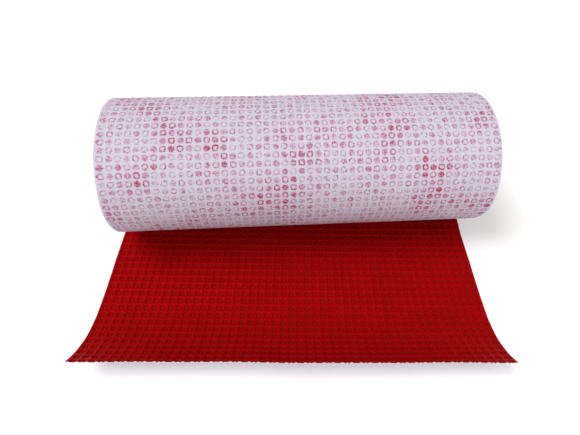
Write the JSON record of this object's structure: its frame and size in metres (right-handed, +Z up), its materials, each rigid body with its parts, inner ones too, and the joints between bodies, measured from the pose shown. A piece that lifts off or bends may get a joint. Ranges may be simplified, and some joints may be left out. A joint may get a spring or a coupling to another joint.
{
  "type": "fabric bolt",
  "caption": "Roll of embossed, backed craft fabric on a paperboard core, lying on its side with its free end pulled out flat and the cut edge curled up.",
  "frame": {"origin": "middle of the line where the roll touches the surface that it lies on", "axes": "+X along the roll's axis, -Y the way the free end is pulled out, +Z up from the surface"},
  "size_m": [0.3189, 0.2266, 0.1132],
  "materials": {
    "red_face": "satin film, embossed",
    "backing": "matt fibrous backing with marks of the red film showing through",
    "core_board": "matt spiral-wound paperboard",
    "start_tape": "satin adhesive strip"
  },
  "bodies": {
    "web": {"outer_wrap": "backing", "tail_lead": "red_face"},
    "roll": {"core_tube": "core_board", "start_tape": "start_tape", "wound_web": "backing"},
    "tail_1": {"tail_panel_1": "red_face"},
    "tail_2": {"tail_panel_2": "red_face"},
    "tail_3": {"tail_panel_3": "red_face"},
    "tail_4": {"tail_panel_4": "red_face"},
    "tail_5": {"tail_panel_5": "red_face"},
    "tail_6": {"tail_panel_6": "red_face"}
  },
  "joints": [
    {"name": "roll_turn", "type": "hinge", "parent": "web", "child": "roll", "pos_m": [0, 0, 0.057], "axis": [1, 0, 0], "continuous": true},
    {"name": "tail_lift", "type": "hinge", "parent": "web", "child": "tail_1", "pos_m": [-0.00447, -0.02514, 0.0006], "axis": [-0.9978, 0.0663, 0], "range_deg": [0, 20]},
    {"name": "tail_lift_2", "type": "hinge", "parent": "tail_1", "child": "tail_2", "pos_m": [-0.00614, -0.05029, 0.0006], "axis": [-0.9978, 0.0663, 0], "range_deg": [0, 20]},
    {"name": "tail_lift_3", "type": "hinge", "parent": "tail_2", "child": "tail_3", "pos_m": [-0.00781, -0.07543, 0.0006], "axis": [-0.9978, 0.0663, 0], "range_deg": [0, 20]},
    {"name": "tail_lift_4", "type": "hinge", "parent": "tail_3", "child": "tail_4", "pos_m": [-0.00948, -0.10058, 0.0006], "axis": [-0.9978, 0.0663, 0], "range_deg": [0, 20]},
    {"name": "end_curl", "type": "hinge", "parent": "tail_4", "child": "tail_5", "pos_m": [-0.01113, -0.12537, 0.00294], "axis": [-0.9978, 0.0663, 0], "range_deg": [-15, 8], "stiffness_Nm_per_rad": 0.15},
    {"name": "end_curl_2", "type": "hinge", "parent": "tail_5", "child": "tail_6", "pos_m": [-0.01262, -0.14782, 0.01348], "axis": [-0.9978, 0.0663, 0], "range_deg": [-20.1, 10.8], "stiffness_Nm_per_rad": 0.15}
  ],
  "couplings": [
    {"joint": "tail_lift_2", "follows": "tail_lift", "ratio": 1},
    {"joint": "tail_lift_3", "follows": "tail_lift", "ratio": 1},
    {"joint": "tail_lift_4", "follows": "tail_lift", "ratio": 1},
    {"joint": "end_curl_2", "follows": "end_curl", "ratio": 1.3333}
  ]
}
